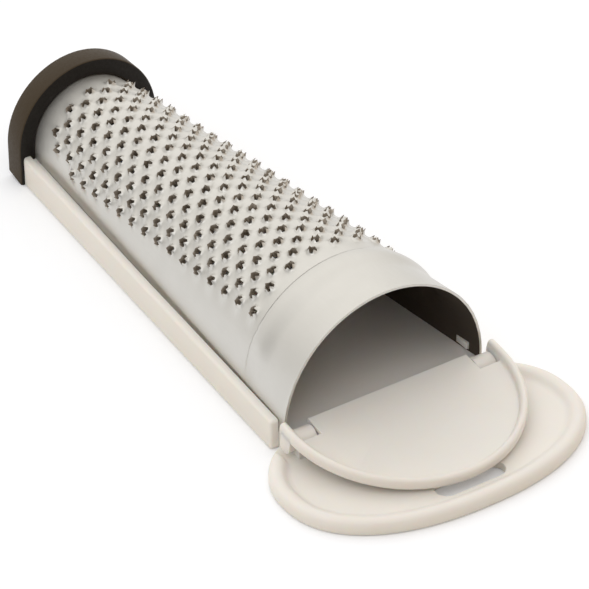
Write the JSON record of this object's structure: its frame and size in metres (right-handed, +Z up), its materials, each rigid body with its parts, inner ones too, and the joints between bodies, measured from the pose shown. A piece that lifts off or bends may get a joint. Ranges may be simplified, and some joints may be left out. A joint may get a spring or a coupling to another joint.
{
  "type": "nutmeg grater",
  "caption": "Tapered half-round steel nutmeg grater on a moulded base with an oval handle, a hinged storage door at the front and a cap at the rear.",
  "frame": {"origin": "on the table, under the middle of the whole part's width and length", "axes": "+X to the right as seen from the handle, +Y from the handle towards the end cap, +Z up"},
  "size_m": [0.0642, 0.1448, 0.0276],
  "materials": {
    "ivory_plastic": "satin moulded",
    "steel_sheet": "fine satin",
    "pin_steel": "plain turned",
    "black_plastic": "satin moulded"
  },
  "bodies": {
    "base": {"base_tray": "ivory_plastic", "grater_shell": "steel_sheet", "end_cap": "black_plastic"},
    "door": {"storage_door": "ivory_plastic", "hinge_pins": "pin_steel"}
  },
  "joints": [
    {"name": "door_hinge", "type": "hinge", "parent": "base", "child": "door", "pos_m": [0, -0.04113, 0.00415], "axis": [-1, 0, 0], "range_deg": [0, 97.8]}
  ]
}
